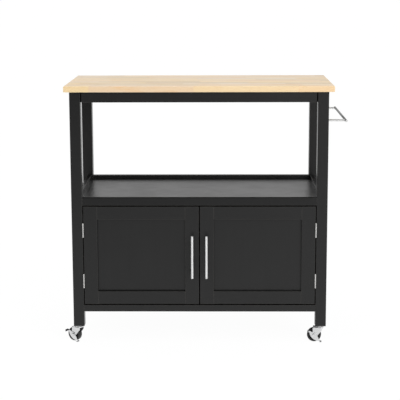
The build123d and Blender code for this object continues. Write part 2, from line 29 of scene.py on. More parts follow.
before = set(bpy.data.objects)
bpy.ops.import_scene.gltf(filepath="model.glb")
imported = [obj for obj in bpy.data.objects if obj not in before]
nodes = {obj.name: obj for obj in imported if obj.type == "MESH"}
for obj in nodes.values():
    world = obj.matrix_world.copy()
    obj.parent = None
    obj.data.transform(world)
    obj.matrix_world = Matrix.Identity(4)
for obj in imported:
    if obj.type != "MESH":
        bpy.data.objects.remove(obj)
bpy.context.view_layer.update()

# Camera, fitted to the photograph
CAMERA_PLACE = (0.0508, -4.5570, 1.3034)
CAMERA_PITCH = 10.275
CAMERA_YAW = 0.844
CAMERA_ROLL = -0.178
CAMERA_FOCUS = 1264.3
FRAME_PIXELS = 400.0

# Light
HORIZON_LEVEL = 1.0
ZENITH_LEVEL = 0.42
FRONT_FILL = 1.65
FRONT_LEFT_GLOSS = 0.02
FRONT_RIGHT_GLOSS = 0.32
BACK_GLOSS = 1.0
FLOOR_GLOW = 0.96
FAR_FLOOR_GLOW = 0.3
WHITE = (1.0, 1.0, 1.0, 1.0)
FLOOR_GREY = (0.8, 0.8, 0.8, 1.0)
FLOOR_SHADE = (0.06, 0.06, 0.06, 1.0)
FLOOR_REACH = 60.0
KEY_LAMP = {"place": (2.2, -3.6, 1.5), "aim": (0.0, 0.0, 0.5), "size": 1.8, "watts": 60.0}
OVERHEAD_LAMP = {"place": (-0.6, -0.6, 3.2), "aim": (0.0, 0.0, 0.6), "size": 2.0, "watts": 6.0}

# Middle of the cart's frame
MIDDLE = (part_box("worktop")[0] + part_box("worktop")[1]) / 2

# Places on the cart, about the middle of its frame
POST_X = 0.429
POST_Y = 0.198
INNER_X = 0.410
INNER_Y = 0.179
BOARD_X = 0.415
RAIL_TOP = 0.894
FRONT_RAIL_BACK = -0.199
REAR_RAIL_FRONT = 0.184
BRACKET_LEG = 0.024
BRACKET_THICKNESS = 0.002
POST_LEAF_X = 0.4088
DOOR_LEAF_X = 0.4082
HINGE_SCREW_Y = -0.2095
HINGE_HEIGHTS = (0.2255, 0.4075)
CATCH_X = 0.038
CATCH_FACE_Y = -0.1974
POLE_HEIGHTS = (0.4785, 0.4845)
STRIKE_BACK_Y = -0.1978
STRIKE_HEIGHT = 0.4815
DOOR_BACK_Y = -0.199
PULL_X = 0.025
PULL_LEG_HEIGHTS = (0.2685, 0.3645)
SWIVEL_TURN = {"brake_rocker_front_left": -30.0, "brake_rocker_front_right": -8.0}

# Where a look starts and ends, as distances from a face or an axis
HEEL_SHADE_SPAN = (-0.0400, -0.0396)
TOWEL_BAR_BACK = (0.0082, 0.0079)
TOWEL_BAR_END = (0.003, 0.002)
GROOVE = (0.002, 0.006)
BESIDE_GROOVE = (0.0002, 0.0004)
BOARD_END = (0.0012, 0.0004)

# Sizes of the staves and of the small hardware
STAVE_WIDTH = 0.0427
STAVE_LENGTH = 0.36
FINGER_WIDTH = 0.0022
FINGER_SLOPE = 3.6
RING_GAP = 0.0016
BRACKET_SCREW = (0.0036, 0.0016)
HINGE_SCREW = (0.0028, 0.00012)
PULL_SCREW = (0.0042, 0.0022)
POLE_PLATE = (0.030, 0.0022, 0.00012)
HINGE_SCREW_ROWS = ((-0.017, 0.0018), (0.0, -0.0018), (0.017, 0.0018))
CROSS_WIDTH = 0.24
CROSS_LENGTH = 1.1
CROSS_DEPTH = 0.55
THINNEST = 0.00002
NEARLY_NOTHING = 0.00001

# Colours, as display values from 0 to 255
STAVE_TONES = (
    (0.0, (215, 197, 164)), (0.2, (249, 225, 182)), (0.4, (235, 222, 201)),
    (0.6, (242, 212, 174)), (0.8, (248, 225, 178)), (1.0, (222, 206, 179)),
)
BLUSH = (238, 190, 134)
FIBRE = (226, 178, 122)
PORE = (196, 142, 92)
SEAM = (188, 140, 95)
RING_LIGHT = (232, 196, 150)
RING_DARK = (205, 160, 112)
LACQUER = (12, 12, 12)
LACQUER_GRAIN = (18, 18, 18)
# Painted highlight along the lacquered boards' edges
EDGE_HIGHLIGHT_GREY = (64, 61, 58)
LACQUER_DUST = (120, 118, 114)
# Painted shade inside the front top rail's shadow grooves and on the posts beside them
GROOVE_SHADE_BLACK = (3, 3, 3)
WHEEL_BLACK = (16, 16, 17)
CATCH_BLACK = (34, 34, 34)
PLASTIC_DUST = (130, 128, 124)
# Painted shade over the brake rockers' heel tabs
HEEL_SHADE_BLACK = (22, 22, 22)
# Painted shade darkening the towel bar's steel
TOWEL_BAR_SHADE = (30, 30, 30)
# Painted shade inside the screws' crosses
CROSS_SHADE_GREY = (60, 60, 60)

# Painted light and shade: shares of red, green and blue that tint the worktop's edges cooler and its top face
# darker and yellower
EDGE_LIGHT_TINT = (0.965, 1.015, 1.03, 1.0)
TOP_SHADE_TINT = (1.0, 0.96, 0.885, 1.0)

# Metals: light and dark of the brushed lines, roughness, and what the lines add to it
ZINC = ((238, 238, 238), (192, 193, 195), 0.26, 0.14)
DULL_ZINC = ((200, 201, 200), (150, 150, 148), 0.32, 0.12)
PULL_STEEL = ((246, 246, 246), (215, 215, 215), 0.30, 0.12)
TOWEL_BAR_STEEL = ((238, 238, 237), (200, 200, 199), 0.24, 0.10)
NICKEL = ((222, 221, 219), (180, 179, 177), 0.30, 0.12)
SCREW_STEEL = ((222, 222, 220), (180, 180, 178), 0.28, 0.12)
POLE_STEEL = ((190, 190, 188), (140, 140, 138), 0.3, 0.14)


# Node tools


def add(tree, kind, inputs=None, **settings):
    """A shader node with its settings, whose inputs take numbers or other nodes' outputs."""
    node = tree.nodes.new(kind)
    for name, value in settings.items():
        setattr(node, name, value)
    for key, value in (inputs or {}).items():
        socket = node.inputs[key]
        if isinstance(value, bpy.types.NodeSocket):
            tree.links.new(value, socket)
        else:
            socket.default_value = value
    return node


def calc(tree, operation, a, b=0.0, c=0.0):
    """One step of arithmetic on two or three values."""
    return add(tree, "ShaderNodeMath", {0: a, 1: b, 2: c}, operation=operation).outputs[0]


def vector_calc(tree, operation, *vectors):
    """One step of arithmetic on vectors."""
    return add(tree, "ShaderNodeVectorMath", dict(enumerate(vectors)), operation=operation).outputs[0]


def axes(tree, vector):
    """A vector's three parts."""
    return add(tree, "ShaderNodeSeparateXYZ", {0: vector}).outputs


def steps(tree, value, low, high, low_out=0.0, high_out=1.0):
    """value moved from one range to another along an S-shaped curve."""
    ends = {"Value": value, "From Min": low, "From Max": high, "To Min": low_out, "To Max": high_out}
    return add(tree, "ShaderNodeMapRange", ends, interpolation_type="SMOOTHSTEP").outputs["Result"]


def tint(tree, factor, a, b, blend="MIX"):
    """A colour between a and b."""
    return add(tree, "ShaderNodeMix", {0: factor, 6: a, 7: b}, data_type="RGBA", blend_type=blend).outputs[2]


def ramp(tree, value, *stops):
    """A colour ramp through (place, colour) stops."""
    node = add(tree, "ShaderNodeValToRGB", {0: value})
    node.color_ramp.elements[0].position = stops[0][0]
    node.color_ramp.elements[0].color = stops[0][1]
    node.color_ramp.elements[1].position = stops[-1][0]
    node.color_ramp.elements[1].color = stops[-1][1]
    for place, colour in stops[1:-1]:
        node.color_ramp.elements.new(place).color = colour
    return node.outputs[0]


def stretched(tree, vector, scale):
    """The vector times a scale along each axis."""
    return add(tree, "ShaderNodeMapping", {"Vector": vector, "Scale": scale}).outputs[0]


def drawn_out(axis, along, across):
    """A scale along each axis that draws a pattern out along one of them, or along none."""
    return [along if letter == axis else across for letter in "XYZ"]


def noise(tree, vector, scale, detail, rough=0.5):
    """Plain noise, from 0 to 1."""
    node = add(tree, "ShaderNodeTexNoise", {"Vector": vector, "Scale": scale, "Detail": detail, "Roughness": rough})
    return node.outputs[0]


def rgb(red, green, blue):
    """A colour given in 0-255 display values, as a linear colour."""
    shown = [c / 255 for c in (red, green, blue)]
    return (*[c / 12.92 if c <= 0.04045 else ((c + 0.055) / 1.055) ** 2.4 for c in shown], 1.0)


def group(name, ins, outs):
    """An empty shader group with named inputs and outputs: (tree, inputs, outputs)."""
    tree = bpy.data.node_groups.new(name, "ShaderNodeTree")
    for key, kind in ins:
        tree.interface.new_socket(key, in_out="INPUT", socket_type="NodeSocket" + kind)
    for key, kind in outs:
        tree.interface.new_socket(key, in_out="OUTPUT", socket_type="NodeSocket" + kind)
    start = tree.nodes.new("NodeGroupInput").outputs
    end = tree.nodes.new("NodeGroupOutput").inputs
    return tree, start, end


def use(tree, shared, **inputs):
    """A shared group placed in a material."""
    return add(tree, "ShaderNodeGroup", inputs, node_tree=shared).outputs


def material(name):
    """A new material: (material, tree, its principled shader, object coordinates)."""
    made = bpy.data.materials.new(name)
    made.use_nodes = True
    tree = made.node_tree
    shader = tree.nodes["Principled BSDF"]
    place = tree.nodes.new("ShaderNodeTexCoord").outputs["Object"]
    return made, tree, shader, place


def finish_shader(tree, shader, colour, rough, height, bump, reach, **fixed):
    """Joins colour, roughness and bump height to a shader and sets its constants. Spaces in names are written _."""
    tree.links.new(colour, shader.inputs["Base Color"])
    tree.links.new(rough, shader.inputs["Roughness"])
    made = add(tree, "ShaderNodeBump", {"Height": height, "Strength": bump, "Distance": reach})
    tree.links.new(made.outputs[0], shader.inputs["Normal"])
    for key, value in fixed.items():
        shader.inputs[key.replace("_", " ")].default_value = value


# Shared effects


def make_grain():
    """Wood grain along the stretched axis: slow bands, fine fibres and short pores."""
    tree, start, end = group(
        "grain", [("Vector", "Vector"), ("Bands", "Float")], [("Tone", "Float"), ("Pores", "Float")]
    )
    warp = noise(tree, start["Vector"], scale=0.6, detail=2.0)
    bands = calc(tree, "MULTIPLY", warp, start["Bands"])
    rings = calc(tree, "PINGPONG", bands, 1.0)
    fibre = noise(tree, start["Vector"], scale=5.0, detail=4.0, rough=0.6)
    tone = calc(tree, "ADD", calc(tree, "MULTIPLY", rings, 0.55), calc(tree, "MULTIPLY", fibre, 0.45))
    tree.links.new(tone, end["Tone"])
    short = noise(tree, stretched(tree, start["Vector"], (4.0, 1.0, 1.0)), scale=11.0, detail=1.0)
    tree.links.new(steps(tree, short, 0.62, 0.72), end["Pores"])
    return tree


def make_edge_highlight():
    """How near a point of a box-shaped board is to one of its edges, broken up by noise: where a painted edge
    highlight goes.

    On a face of a box one of the three distances to the faces is nothing, so the second smallest of them is the
    distance to the nearest edge."""
    tree, start, end = group(
        "edge_highlight",
        [("Vector", "Vector"), ("Centre", "Vector"), ("Half", "Vector"), ("Width", "Float")],
        [("Mask", "Float")],
    )
    away = vector_calc(tree, "ABSOLUTE", vector_calc(tree, "SUBTRACT", start["Vector"], start["Centre"]))
    parts = axes(tree, vector_calc(tree, "SUBTRACT", start["Half"], away))
    low = calc(tree, "MINIMUM", parts[0], parts[1])
    high = calc(tree, "MAXIMUM", parts[0], parts[1])
    second = calc(tree, "MAXIMUM", low, calc(tree, "MINIMUM", high, parts[2]))
    wobble = noise(tree, start["Vector"], scale=90.0, detail=3.0, rough=0.6)
    width = calc(tree, "MAXIMUM", calc(tree, "MULTIPLY", wobble, start["Width"]), NEARLY_NOTHING)
    near = calc(tree, "DIVIDE", second, width)
    tree.links.new(steps(tree, near, 0.6, 1.6, 1.0, 0.0), end["Mask"])
    return tree


def make_smudges():
    """Soft handling marks and fine dust, each from 0 to 1."""
    tree, start, end = group("smudges", [("Vector", "Vector")], [("Marks", "Float"), ("Dust", "Float")])
    big = noise(tree, start["Vector"], scale=7.0, detail=4.0, rough=0.62)
    tree.links.new(steps(tree, big, 0.38, 0.68), end["Marks"])
    fine = noise(tree, start["Vector"], scale=420.0, detail=2.0, rough=0.7)
    tree.links.new(steps(tree, fine, 0.60, 0.75), end["Dust"])
    return tree


def make_brushing():
    """Fine parallel scratches, drawn out along the axis that the vector is squeezed on."""
    tree, start, end = group("brushing", [("Vector", "Vector")], [("Lines", "Float")])
    fine = noise(tree, start["Vector"], scale=60.0, detail=3.0, rough=0.7)
    broad = noise(tree, start["Vector"], scale=14.0, detail=2.0, rough=0.5)
    lines = calc(tree, "ADD", calc(tree, "MULTIPLY", fine, 0.65), calc(tree, "MULTIPLY", broad, 0.35))
    tree.links.new(lines, end["Lines"])
    return tree


GRAIN = make_grain()
EDGE_HIGHLIGHT = make_edge_highlight()
SMUDGES = make_smudges()
BRUSHING = make_brushing()


# Finishes


def node_box(name):
    """Centre and half size of a node of the cart."""
    low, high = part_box(name)
    return (low + high) / 2, (high - low) / 2


def end_grain(tree, xyz, centre, row, row_random):
    """The colour of the growth rings on the sawn ends of the staves.

    Each stave's rings are circles round its own point below or above the board."""
    odd_row = calc(tree, "PINGPONG", row, 1.0)
    ring_y = calc(tree, "ADD", centre.y, calc(tree, "MULTIPLY_ADD", row_random, 0.16, -0.08))
    ring_z = calc(tree, "ADD", centre.z, calc(tree, "MULTIPLY_ADD", odd_row, 0.12, -0.06))
    across = calc(tree, "SUBTRACT", xyz[1], ring_y)
    up = calc(tree, "SUBTRACT", xyz[2], ring_z)
    squares = calc(tree, "ADD", calc(tree, "MULTIPLY", across, across), calc(tree, "MULTIPLY", up, up))
    rings = calc(tree, "PINGPONG", calc(tree, "SQRT", squares), RING_GAP)
    return tint(tree, calc(tree, "MULTIPLY", rings, 400.0), rgb(*RING_LIGHT), rgb(*RING_DARK))


def worktop_wood():
    """Light hardwood staves along X, finger-jointed end to end, under a satin varnish.

    The top face is painted a little darker and yellower than the edges, as painted shade."""
    made, tree, shader, place = material("worktop_wood")
    centre, half = node_box("worktop")
    xyz = axes(tree, place)
    across = calc(tree, "DIVIDE", calc(tree, "SUBTRACT", xyz[1], centre.y - half.y), STAVE_WIDTH)
    row = calc(tree, "FLOOR", across)
    row_random = add(tree, "ShaderNodeTexWhiteNoise", {"W": row}, noise_dimensions="1D").outputs["Value"]
    finger = calc(tree, "PINGPONG", xyz[1], FINGER_WIDTH)
    along = calc(tree, "ADD", xyz[0], calc(tree, "MULTIPLY", finger, FINGER_SLOPE))
    along = calc(tree, "ADD", calc(tree, "DIVIDE", along, STAVE_LENGTH), calc(tree, "MULTIPLY", row_random, 7.0))
    piece = calc(tree, "FLOOR", along)
    both = add(tree, "ShaderNodeCombineXYZ", {0: piece, 1: row, 2: 11.0}).outputs[0]
    piece_random = add(tree, "ShaderNodeTexWhiteNoise", {"Vector": both}, noise_dimensions="3D").outputs
    shift = vector_calc(tree, "MULTIPLY", piece_random["Color"], (5.0, 5.0, 5.0))
    moved = vector_calc(tree, "ADD", place, shift)
    grain = use(tree, GRAIN, Vector=stretched(tree, moved, (3.0, 42.0, 42.0)), Bands=9.0)
    base = ramp(tree, piece_random["Value"], *[(at, rgb(*colour)) for at, colour in STAVE_TONES])
    patches = noise(tree, stretched(tree, moved, (9.0, 50.0, 50.0)), scale=1.0, detail=2.0)
    blush = calc(tree, "MULTIPLY", steps(tree, patches, 0.56, 0.74), 0.5)
    colour = tint(tree, blush, base, rgb(*BLUSH))
    colour = tint(tree, calc(tree, "MULTIPLY", grain["Tone"], 0.26), colour, rgb(*FIBRE))
    colour = tint(tree, calc(tree, "MULTIPLY", grain["Pores"], 0.22), colour, rgb(*PORE))
    joint_x = calc(tree, "ABSOLUTE", calc(tree, "SUBTRACT", calc(tree, "FRACT", along), 0.5))
    joint_y = calc(tree, "ABSOLUTE", calc(tree, "SUBTRACT", calc(tree, "FRACT", across), 0.5))
    seam = calc(tree, "MAXIMUM", steps(tree, joint_x, 0.4985, 0.4995), steps(tree, joint_y, 0.492, 0.498))
    colour = tint(tree, calc(tree, "MULTIPLY", seam, 0.35), colour, rgb(*SEAM))
    start, end = BOARD_END
    sawn = end_grain(tree, xyz, centre, row, row_random)
    away = calc(tree, "ABSOLUTE", calc(tree, "SUBTRACT", xyz[0], centre.x))
    colour = tint(tree, steps(tree, away, half.x - start, half.x - end, 0.0, 0.75), colour, sawn)
    # Painted light and shade: the edges tinted cooler, the top face darker and yellower
    edge = tint(tree, 1.0, colour, EDGE_LIGHT_TINT, "MULTIPLY")
    top = tint(tree, 1.0, colour, TOP_SHADE_TINT, "MULTIPLY")
    high = centre.z + half.z
    colour = tint(tree, steps(tree, xyz[2], high - start, high - end), edge, top)
    marks = use(tree, SMUDGES, Vector=place)
    rough = calc(tree, "MULTIPLY_ADD", marks["Marks"], 0.08, 0.30)
    rough = calc(tree, "ADD", rough, calc(tree, "MULTIPLY", grain["Tone"], 0.07))
    sunk = calc(tree, "ADD", calc(tree, "MULTIPLY", grain["Pores"], 0.5), seam)
    height = calc(tree, "SUBTRACT", calc(tree, "MULTIPLY", grain["Tone"], 0.4), sunk)
    finish_shader(tree, shader, colour, rough, height, bump=0.12, reach=0.0004, Specular_IOR_Level=0.5)
    return made


def groove_shade(tree, place, name):
    """Where painted shade darkens a front post or the front top rail inside a shadow groove, or nothing.

    The rail's groove starts a few millimetres behind its face. A post has one where its inner face stands beside
    the rail."""
    xyz = axes(tree, place)
    low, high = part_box(name)
    if name == "top_rail_front":
        return steps(tree, xyz[1], low.y + GROOVE[0], low.y + GROOVE[1])
    if name.startswith("post_front"):
        inner_x = high.x if name.endswith("left") else low.x
        away = calc(tree, "ABSOLUTE", calc(tree, "SUBTRACT", xyz[0], inner_x))
        beside = steps(tree, away, *BESIDE_GROOVE, 1.0, 0.0)
        rail_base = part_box("top_rail_front")[0].z
        return calc(tree, "MULTIPLY", beside, steps(tree, xyz[2], rail_base, rail_base + 0.0005))
    return None


def lacquer(name, axis, shine):
    """Black lacquer on one board whose grain runs along an axis, with a painted highlight along its edges."""
    made, tree, shader, place = material("lacquer_" + name)
    centre, half = node_box(name)
    grain = use(tree, GRAIN, Vector=stretched(tree, place, drawn_out(axis, 4.0, 70.0)), Bands=6.0)
    highlit_edge = use(tree, EDGE_HIGHLIGHT, Vector=place, Centre=centre, Half=half, Width=0.0016)["Mask"]
    marks = use(tree, SMUDGES, Vector=place)
    colour = tint(tree, calc(tree, "MULTIPLY", grain["Tone"], 0.5), rgb(*LACQUER), rgb(*LACQUER_GRAIN))
    # Painted highlight: the edges made lighter grey, and the lacquer there a little rougher
    colour = tint(tree, calc(tree, "MULTIPLY", highlit_edge, 0.5), colour, rgb(*EDGE_HIGHLIGHT_GREY))
    colour = tint(tree, calc(tree, "MULTIPLY", marks["Dust"], 0.06), colour, rgb(*LACQUER_DUST))
    rough = calc(tree, "MULTIPLY_ADD", marks["Marks"], 0.04, 0.33)
    rough = calc(tree, "ADD", rough, calc(tree, "MULTIPLY", highlit_edge, 0.1))
    groove = groove_shade(tree, place, name)
    if groove is not None:
        # Painted shade: near black and fully rough inside the groove
        colour = tint(tree, groove, colour, rgb(*GROOVE_SHADE_BLACK))
        rough = calc(tree, "MAXIMUM", rough, groove)
    peel = noise(tree, place, scale=520.0, detail=1.0, rough=0.4)
    height = calc(tree, "ADD", calc(tree, "MULTIPLY", peel, 0.5), calc(tree, "MULTIPLY", grain["Tone"], 0.3))
    finish_shader(tree, shader, colour, rough, height, bump=0.03, reach=0.0001, Specular_IOR_Level=shine)
    return made


def metal(name, look, axis="", other=None, other_colour=None):
    """A brushed or plated metal, with its lines drawn out along an axis if one is given.

    other makes a mask from the tree and the coordinates, where other_colour tints the metal."""
    light, dark, rough, spread = look
    made, tree, shader, place = material(name)
    lines = use(tree, BRUSHING, Vector=stretched(tree, place, drawn_out(axis, 0.8, 25.0)))["Lines"]
    marks = use(tree, SMUDGES, Vector=place)
    colour = tint(tree, calc(tree, "MULTIPLY", lines, 0.8), rgb(*light), rgb(*dark))
    value = calc(tree, "MULTIPLY_ADD", lines, spread, rough)
    value = calc(tree, "ADD", value, calc(tree, "MULTIPLY", marks["Marks"], 0.08))
    if other is not None:
        colour = tint(tree, other(tree, place), colour, rgb(*other_colour))
    finish_shader(tree, shader, colour, value, lines, bump=0.04, reach=0.0002, Metallic=1.0)
    return made


def towel_bar_shade_mask(tree, place):
    """Painted shade on the steel bar: dark between its two ends, which stay bright. The legs that carry it stay
    bright too.
    """
    centre, half = node_box("towel_bar")
    xyz = axes(tree, place)
    start, end = [centre.x + half.x - back for back in TOWEL_BAR_BACK]
    bar = steps(tree, xyz[0], start, end)
    away = calc(tree, "ABSOLUTE", calc(tree, "SUBTRACT", xyz[1], centre.y))
    start, end = [half.y - short for short in TOWEL_BAR_END]
    return calc(tree, "MULTIPLY", bar, steps(tree, away, start, end, 1.0, 0.0))


def cross_shade_mask(tree, place):
    """The depth inside a screw's cross, from the mesh's own attribute, where painted shade darkens the screw."""
    return add(tree, "ShaderNodeAttribute", attribute_name="cross").outputs["Fac"]


def rocker_metal(name, side):
    """Bright zinc on a brake rocker, with painted shade over its heel tab: black and not metallic there.

    The heel's place is worked out from the caster's swivel axis and its turn."""
    made = metal("zinc_" + name, ZINC)
    tree = made.node_tree
    shader = tree.nodes["Principled BSDF"]
    place = add(tree, "ShaderNodeTexCoord").outputs["Object"]
    axis = Vector((side * POST_X + MIDDLE.x, -POST_Y + MIDDLE.y, 0.0))
    turn = (0.0, 0.0, math.radians(SWIVEL_TURN[name]))
    swivel = {"Vector": place, "Location": axis, "Rotation": turn}
    local = add(tree, "ShaderNodeMapping", swivel, vector_type="TEXTURE").outputs[0]
    # Painted shade: the heel tab turned black and not metallic
    heel_shade = steps(tree, axes(tree, local)[0], *HEEL_SHADE_SPAN, 1.0, 0.0)
    zinc_colour = shader.inputs["Base Color"].links[0].from_socket
    tree.links.new(tint(tree, heel_shade, zinc_colour, rgb(*HEEL_SHADE_BLACK)), shader.inputs["Base Color"])
    tree.links.new(calc(tree, "SUBTRACT", 1.0, heel_shade), shader.inputs["Metallic"])
    return made


def moulded(name, base, rough):
    """A moulded black plastic with a fine matt texture."""
    made, tree, shader, place = material(name)
    marks = use(tree, SMUDGES, Vector=place)
    colour = tint(tree, calc(tree, "MULTIPLY", marks["Marks"], 0.5), rgb(*base), rgb(*[c + 10 for c in base]))
    colour = tint(tree, calc(tree, "MULTIPLY", marks["Dust"], 0.15), colour, rgb(*PLASTIC_DUST))
    value = calc(tree, "MULTIPLY_ADD", marks["Marks"], 0.12, rough)
    peel = noise(tree, place, scale=1400.0, detail=2.0, rough=0.6)
    finish_shader(tree, shader, colour, value, peel, bump=0.08, reach=0.0002)
    return made


def dress(name, made):
    """Gives a node of the cart one finish."""
    for slot in nodes[name].material_slots:
        slot.material = made
    if not nodes[name].material_slots:
        nodes[name].data.materials.append(made)


# The axis each board's grain runs along
BOARD_GRAIN = {
    "X": ["top_rail_front", "top_rail_rear", "shelf_panel", "shelf_rail_front", "shelf_rail_rear",
          "bottom_rail_front", "bottom_rail_rear", "cabinet_floor", "inner_shelf"],
    "Y": ["top_rail_left", "top_rail_right"],
    "Z": ["post_front_left", "post_front_right", "post_rear_left", "post_rear_right",
          "side_panel_left", "side_panel_right", "back_panel"],
}
for door in ("door_left_", "door_right_"):
    BOARD_GRAIN["X"] += [door + "rail_top", door + "rail_bottom"]
    BOARD_GRAIN["Z"] += [door + "stile_hinge", door + "stile_pull", door + "panel"]

# How much a board's lacquer mirrors, and the boards where it isn't the usual amount
BOARD_SHINE = 0.4
SHINE = {
    "shelf_panel": 0.24, "shelf_rail_front": 0.33, "shelf_rail_rear": 0.5, "top_rail_front": 0.42,
    "side_panel_left": 0.22, "side_panel_right": 0.22, "post_front_right": 0.38,
}


def dress_boards():
    """Worktop and all the lacquered boards."""
    dress("worktop", worktop_wood())
    for axis, names in BOARD_GRAIN.items():
        for name in names:
            dress(name, lacquer(name, axis, SHINE.get(name, BOARD_SHINE)))


def dress_hardware():
    """Bars, hinges, catches and casters."""
    towel_finish = metal(
        "brushed_towel_bar", TOWEL_BAR_STEEL, "Y", other=towel_bar_shade_mask, other_colour=TOWEL_BAR_SHADE
    )
    dress("towel_bar", towel_finish)
    pull_finish = metal("brushed_pulls", PULL_STEEL, "Z")
    hinge_finish = metal("satin_nickel", NICKEL, "Z")
    zinc = metal("bright_zinc", ZINC)
    steel = metal("zinc_steel", DULL_ZINC)
    wheel = moulded("wheel_black", WHEEL_BLACK, 0.42)
    catch = moulded("catch_black", CATCH_BLACK, 0.5)
    for side in ("left", "right"):
        dress("door_%s_pull" % side, pull_finish)
        dress("door_%s_hinge_leaves" % side, hinge_finish)
        dress("door_%s_strike" % side, hinge_finish)
    dress("hinge_leaves_fixed", hinge_finish)
    dress("hinge_pins", hinge_finish)
    for name in ("shelf_pins", "frame_bolts", "worktop_brackets"):
        dress(name, steel)
    dress("magnetic_catches", catch)
    dress("caster_stems", zinc)
    for name in nodes:
        if name.startswith("caster_wheel"):
            dress(name, wheel)
        elif name.startswith(("caster_fork", "caster_axle")):
            dress(name, zinc)
    for name, side in (("brake_rocker_front_left", -1), ("brake_rocker_front_right", 1)):
        dress(name, rocker_metal(name, side))


# Small hardware


def smooth(value, low, high):
    """An S-shaped step from nothing at low to one at high."""
    t = np.clip((value - low) / (high - low), 0.0, 1.0)
    return t * t * (3.0 - 2.0 * t)


def screw_head(radius, height, slot_width, slot_length, slot_depth, spokes=48):
    """Points, faces and cross depths of a screw head that stands on +Z.

    The profile's radii r and heights h turn about Z, so a point is (r cos a, r sin a, h). It sinks by slot_depth
    where it is within half of slot_width of one axis and half of slot_length along it."""
    angle = np.arange(spokes) * 2 * math.pi / spokes
    x = np.outer(radius, np.cos(angle))
    y = np.outer(radius, np.sin(angle))
    z = np.repeat(height[:, None], spokes, axis=1)
    blur = slot_width * 0.25

    def slot(across, along):
        """How far a point lies inside one arm of the cross, from 0 to 1."""
        edge = smooth(np.abs(across), slot_width / 2 - blur, slot_width / 2 + blur)
        end = smooth(np.abs(along), slot_length / 2 - blur, slot_length / 2 + blur)
        return (1.0 - edge) * (1.0 - end)

    cross = np.maximum(slot(x, y), slot(y, x))
    z = np.where(z > 0, np.maximum(z - slot_depth * cross, THINNEST), z)
    points = np.stack([x, y, z], axis=-1).reshape(-1, 3)
    top = (0.0, 0.0, max(height[0] - slot_depth, THINNEST))
    points = np.vstack([points, top, (0.0, 0.0, 0.0)])
    depth = np.append(cross.ravel(), (1.0, 0.0))
    rings = len(radius)
    row, spoke = np.meshgrid(np.arange(rings - 1), np.arange(spokes), indexing="ij")
    after = (spoke + 1) % spokes
    inner, outer = row * spokes, (row + 1) * spokes
    walls = np.stack([inner + spoke, outer + spoke, outer + after, inner + after], axis=-1).reshape(-1, 4)
    first = np.arange(spokes)
    second = (first + 1) % spokes
    crown = np.stack([np.full(spokes, rings * spokes), first, second], axis=-1)
    rim = (rings - 1) * spokes
    base = np.stack([np.full(spokes, rings * spokes + 1), rim + second, rim + first], axis=-1)
    faces = np.vstack([walls[:, [0, 1, 2]], walls[:, [0, 2, 3]], crown, base])
    return points, faces, depth


def pan_head(radius, height):
    """A domed screw head: its height falls as the square root of one less r to the fourth."""
    r = np.linspace(radius / 12, radius, 12)
    h = height * np.sqrt(np.clip(1 - (r / radius) ** 4, 0, 1))
    return screw_head(r, h, radius * CROSS_WIDTH, radius * CROSS_LENGTH, height * CROSS_DEPTH)


def flat_head(radius, height):
    """A countersunk screw's flat head, just proud of the plate."""
    r = np.append(np.linspace(radius / 11, radius * 0.96, 11), [radius, radius])
    h = np.append(np.full(11, height), [height * 0.5, 0.0])
    return screw_head(r, h, radius * CROSS_WIDTH, radius * CROSS_LENGTH, height)


def set_out(shape, spots):
    """The shape's points and faces at many spots, each a place and the way its +Z looks."""
    points, faces, depth = shape
    all_points, all_faces = [], []
    for index, (place, way) in enumerate(spots):
        turn = np.array(Vector(way).to_track_quat("Z", "Y").to_matrix())
        all_points.append(points @ turn.T + np.array(place))
        all_faces.append(faces + index * len(points))
    return np.vstack(all_points), np.vstack(all_faces), np.tile(depth, len(spots))


def small_piece(name, shape, spots, body, made):
    """A mesh of one small shape at many spots, riding on a body."""
    points, faces, depth = set_out(shape, spots)
    points = points + np.array((MIDDLE.x, MIDDLE.y, 0.0))
    mesh = bpy.data.meshes.new(name)
    mesh.from_pydata(points.tolist(), [], faces.tolist())
    mesh.attributes.new("cross", "FLOAT", "POINT").data.foreach_set("value", depth.astype(np.float32))
    mesh.set_sharp_from_angle(angle=math.radians(40))
    mesh.materials.append(made)
    piece = bpy.data.objects.new(name, mesh)
    bpy.context.scene.collection.objects.link(piece)
    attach(piece, body)


def stadium(length, width, height, corners=24):
    """A flat bar with round ends that stands on +Z: a half circle at each end, drawn in a little at the top."""
    angle = np.linspace(-math.pi / 2, math.pi / 2, corners // 2)
    end_x = (length - width) / 2 + np.cos(angle) * width / 2
    end_y = np.sin(angle) * width / 2
    x = np.concatenate([end_x, -end_x])
    y = np.concatenate([end_y, -end_y])
    count = len(x)
    inset = 1 - 0.12 * height / width
    low = np.stack([x, y, np.zeros(count)], axis=-1)
    high = np.stack([x * inset, y * inset, np.full(count, height)], axis=-1)
    points = np.vstack([low, high, (0.0, 0.0, 0.0), (0.0, 0.0, height)])
    first = np.arange(count)
    after = (first + 1) % count
    walls = np.stack([first, after, after + count, first + count], axis=-1)
    base = np.stack([np.full(count, 2 * count), after, first], axis=-1)
    crown = np.stack([np.full(count, 2 * count + 1), first + count, after + count], axis=-1)
    faces = np.vstack([walls[:, [0, 1, 2]], walls[:, [0, 2, 3]], base, crown])
    return points, faces, np.zeros(len(points))


